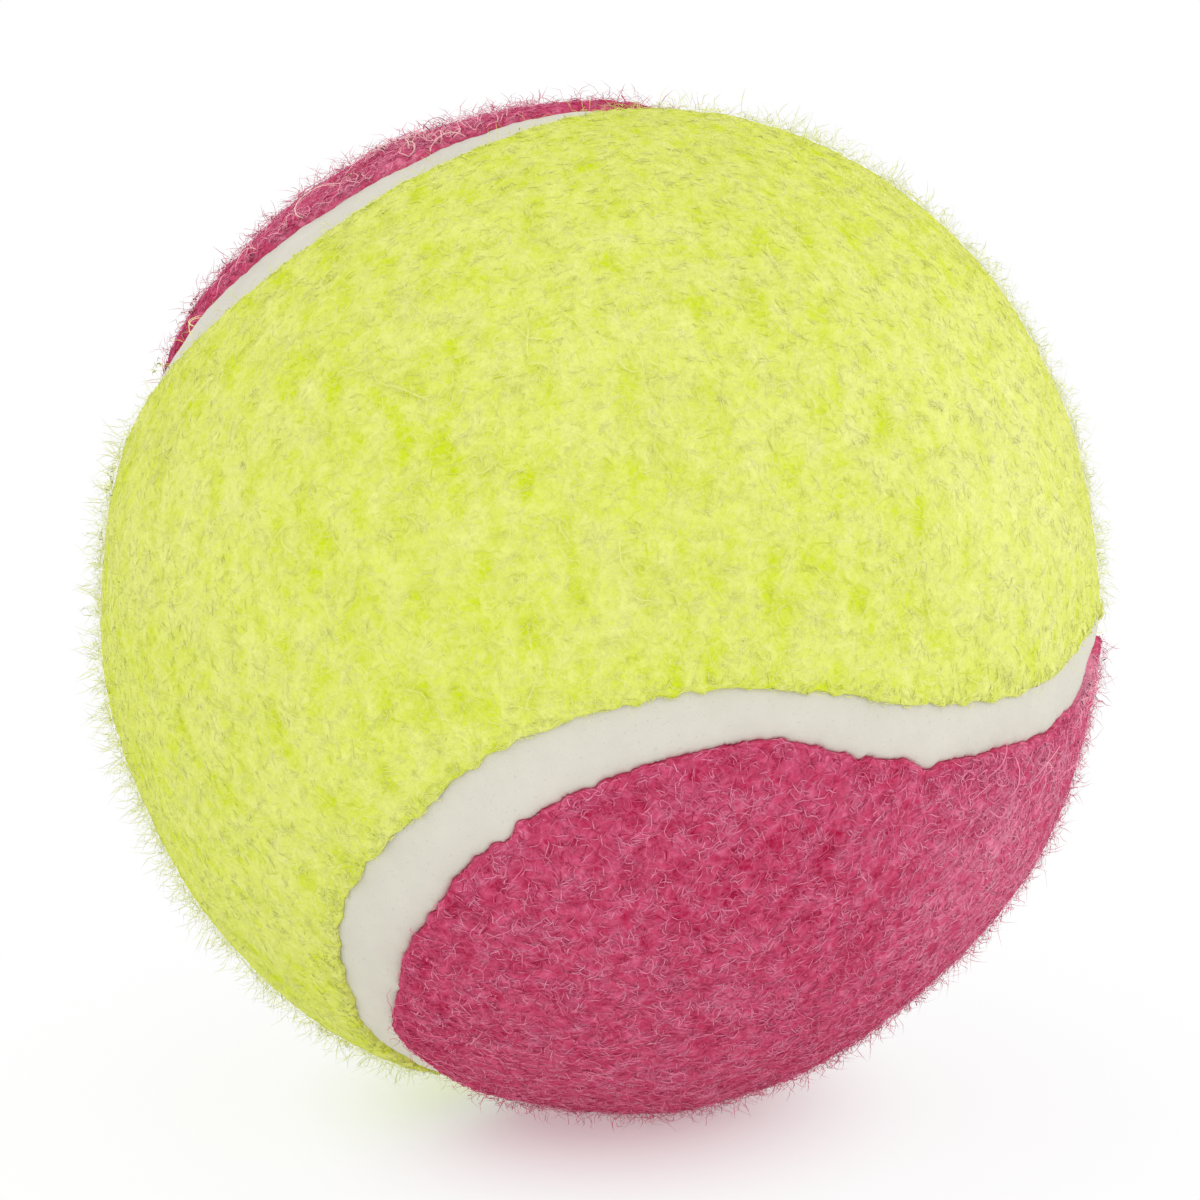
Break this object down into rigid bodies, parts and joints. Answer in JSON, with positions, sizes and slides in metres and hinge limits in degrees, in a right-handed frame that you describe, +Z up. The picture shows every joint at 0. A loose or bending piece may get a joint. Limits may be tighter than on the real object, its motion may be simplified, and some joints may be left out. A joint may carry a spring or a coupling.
{
  "type": "tennis ball",
  "caption": "Felt-covered hollow rubber ball for racket play, its cover two like panels in different colours laid either side of a winding rubber seam.",
  "frame": {"origin": "the ball's centre", "axes": "+Z up as the ball lies in the picture, with -Y toward the viewer and +X to the viewer's right"},
  "size_m": [0.066, 0.066, 0.066],
  "materials": {
    "yellow_felt": "short matted wool and nylon nap, dyed yellow-green",
    "pink_felt": "short curly wool and nylon nap, dyed crimson pink",
    "yellow_cloth": "plain woven cotton cloth, stained by the yellow dye",
    "pink_cloth": "plain woven cotton cloth, stained by the pink dye",
    "seam_rubber": "matt off-white seam rubber with a fine speckle",
    "core_rubber": "matt dark grey moulded rubber",
    "cement": "dried cream rubber cement"
  },
  "bodies": {
    "root": {"lower_core_half": "core_rubber", "upper_core_half": "core_rubber", "core_joint_cement": "cement", "cover_cement": "cement", "yellow_backing_cloth": "yellow_cloth", "pink_backing_cloth": "pink_cloth", "yellow_felt": "yellow_felt", "pink_felt": "pink_felt", "seam_rubber": "seam_rubber"}
  },
  "joints": []
}
